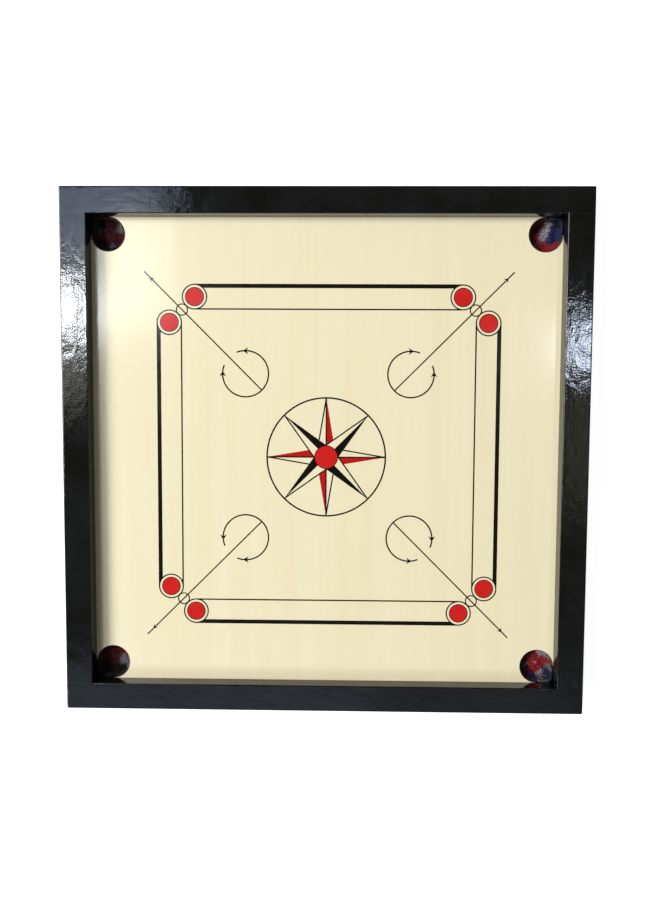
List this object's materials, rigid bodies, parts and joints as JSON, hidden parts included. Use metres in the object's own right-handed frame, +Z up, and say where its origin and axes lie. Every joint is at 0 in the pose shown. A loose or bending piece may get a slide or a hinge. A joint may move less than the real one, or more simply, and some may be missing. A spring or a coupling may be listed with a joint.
{
  "type": "carrom board",
  "caption": "Square tabletop carrom board: a raised black wooden frame round a printed plywood playing panel, with a net pocket in each corner.",
  "frame": {"origin": "middle of the board on the surface it stands on", "axes": "+Z up out of the playing surface, +X to the right and +Y to the back as the board is first drawn; the four sides are alike"},
  "size_m": [0.66, 0.66, 0.05],
  "materials": {
    "painted_rail": "softwood under brushed gloss black enamel",
    "plywood_panel": "pale veneer, clear gloss lacquer",
    "raw_batten": "sawn softwood, unpainted",
    "steel_nail": "plain wire nail",
    "net_yarn": "crocheted cotton yarn in maroon, grey, blue and red",
    "hem_cord": "twisted cotton cord",
    "black_ink": "screen-printed ink under lacquer",
    "red_ink": "screen-printed ink under lacquer"
  },
  "bodies": {
    "root": {"rail_back": "painted_rail", "rail_front": "painted_rail", "rail_left": "painted_rail", "rail_right": "painted_rail", "playing_panel": "plywood_panel", "batten_long": "raw_batten", "batten_cross": "raw_batten", "corner_nails": "steel_nail", "batten_nails": "steel_nail", "pocket_net_back_right": "net_yarn", "pocket_net_back_left": "net_yarn", "pocket_net_front_left": "net_yarn", "pocket_net_front_right": "net_yarn", "hem_cord_back_right": "hem_cord", "hem_cord_back_left": "hem_cord", "hem_cord_front_left": "hem_cord", "hem_cord_front_right": "hem_cord", "net_tacks": "steel_nail", "ink_base_lines": "black_ink", "ink_base_dots": "red_ink", "ink_corner_marks": "black_ink", "ink_star_black": "black_ink", "ink_star_red": "red_ink"}
  },
  "joints": []
}
